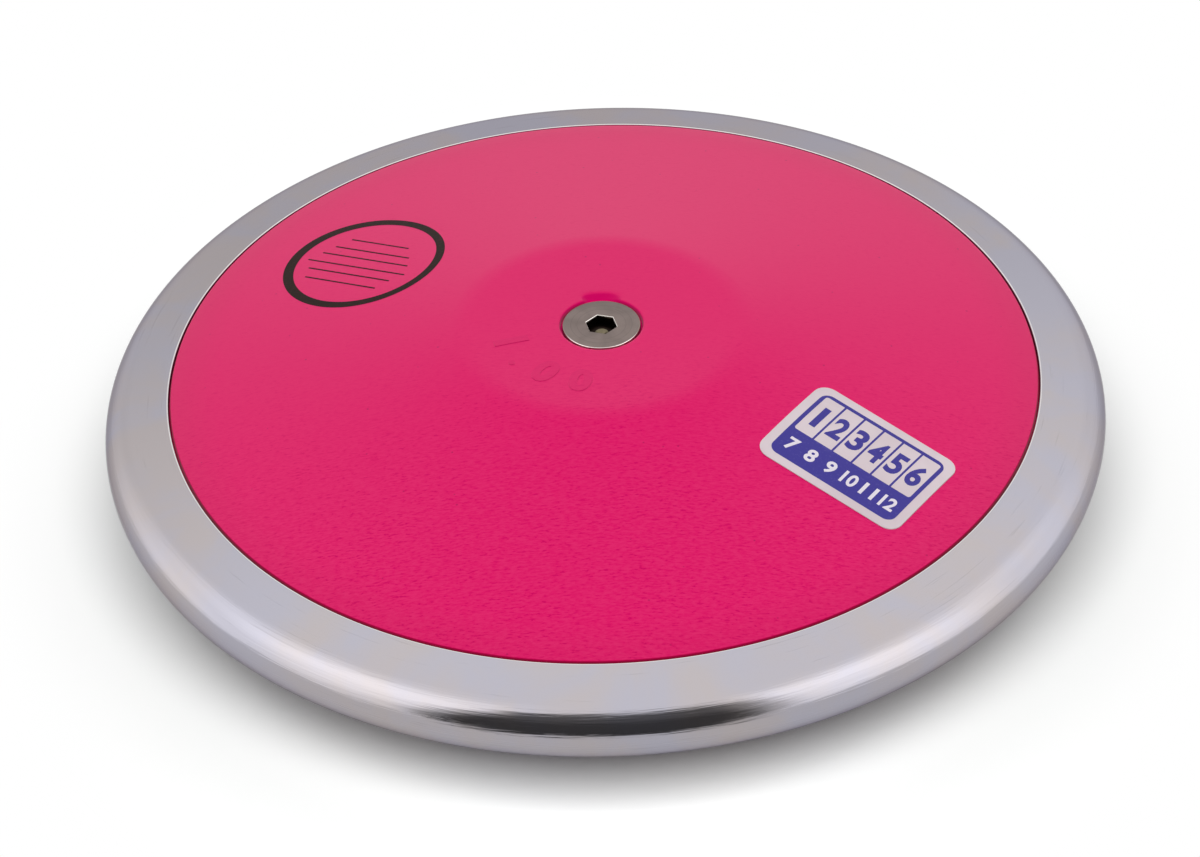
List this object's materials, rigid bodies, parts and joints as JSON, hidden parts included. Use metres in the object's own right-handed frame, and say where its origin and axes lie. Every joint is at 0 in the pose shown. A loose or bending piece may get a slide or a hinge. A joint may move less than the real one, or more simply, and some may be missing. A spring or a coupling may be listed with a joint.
{
  "type": "discus",
  "caption": "Throwing discus: a turned steel rim holds two tapered moulded side plates, clamped by a centre bolt and barrel nut with hex sockets.",
  "frame": {"origin": "centre of the discus, on its spin axis and midway between its two flat faces", "axes": "+Z along the spin axis, out of the face that carries the sticker; the picture looks along +Y from above, with +X to its right"},
  "size_m": [0.181, 0.181, 0.038],
  "materials": {
    "rim_steel": "satin",
    "bolt_steel": "satin",
    "core_steel": "satin",
    "spring_steel": "satin",
    "pink_plastic": "satin",
    "black_rubber": "matte",
    "label_vinyl": "satin"
  },
  "bodies": {
    "root": {"rim": "rim_steel", "top_plate": "pink_plastic", "bottom_plate": "pink_plastic", "centre_bolt": "bolt_steel", "barrel_nut": "bolt_steel", "plain_washer": "bolt_steel", "spring_washer": "spring_steel", "upper_backing_disc": "core_steel", "trim_shim_1": "core_steel", "trim_shim_2": "core_steel", "trim_shim_3": "core_steel", "hub_core": "core_steel", "lower_backing_disc": "core_steel", "upper_gasket": "black_rubber", "lower_gasket": "black_rubber", "drive_pin_1": "spring_steel", "drive_pin_2": "spring_steel", "drive_pin_3": "spring_steel", "drive_pin_4": "spring_steel", "label": "label_vinyl"}
  },
  "joints": []
}
